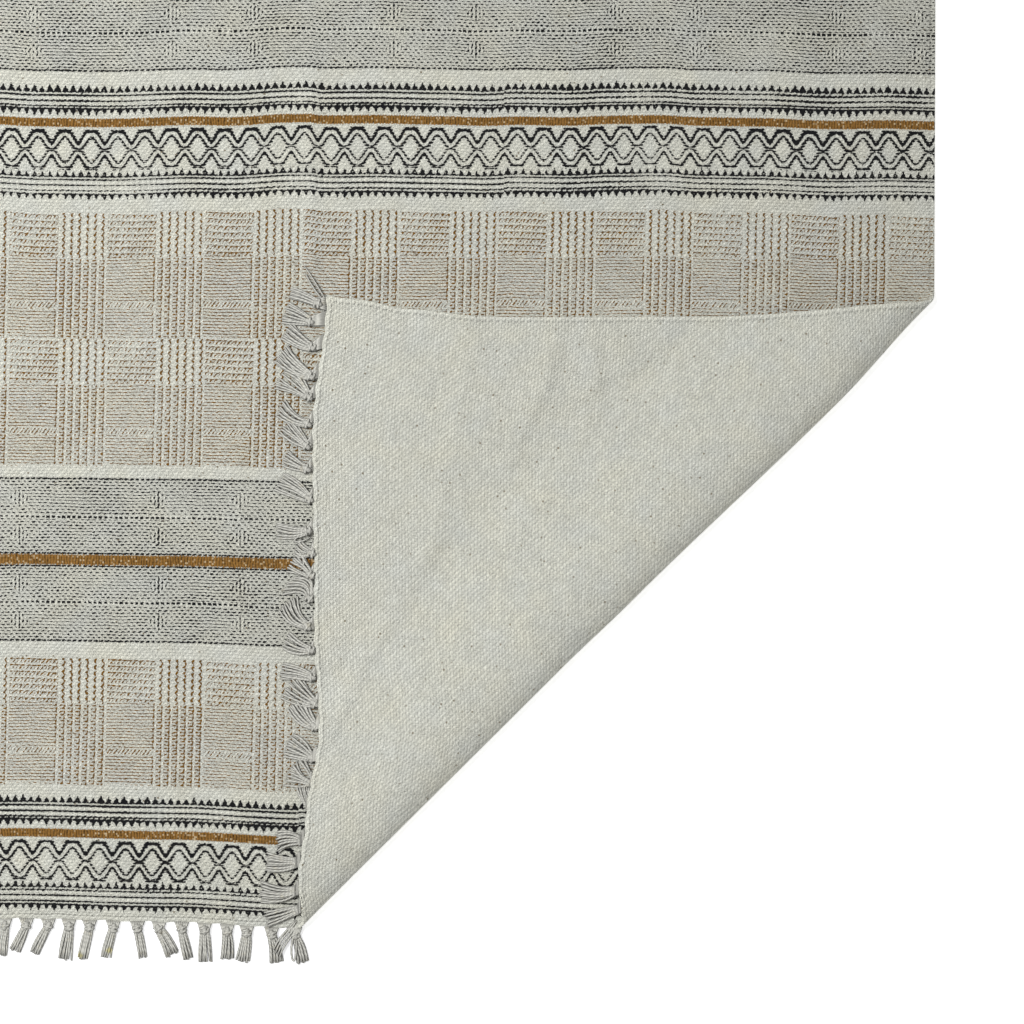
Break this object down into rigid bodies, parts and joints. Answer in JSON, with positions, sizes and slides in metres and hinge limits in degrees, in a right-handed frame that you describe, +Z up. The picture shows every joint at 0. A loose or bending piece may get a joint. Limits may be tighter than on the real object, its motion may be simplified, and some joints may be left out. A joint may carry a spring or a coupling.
{
  "type": "flatweave rug",
  "caption": "Hand-woven cotton flatweave rug with printed bands and knotted fringes, lying flat with one corner folded back over its face.",
  "frame": {"origin": "on the floor, under the middle of the flat rug", "axes": "+X across the rug towards the side whose near corner is folded over, +Y along the rug from the near end to the far end, +Z up from the floor"},
  "size_m": [1.22, 1.9501, 0.0253],
  "materials": {
    "printed_cotton": "matt weft-faced cotton weave, off-white, block printed on its face in black, tan and mustard, with a plain back",
    "warp_yarn": "matt plied cotton yarn, grey-white"
  },
  "bodies": {
    "root": {"rug_cloth": "printed_cotton", "fringe_near": "warp_yarn", "fringe_far": "warp_yarn"}
  },
  "joints": []
}
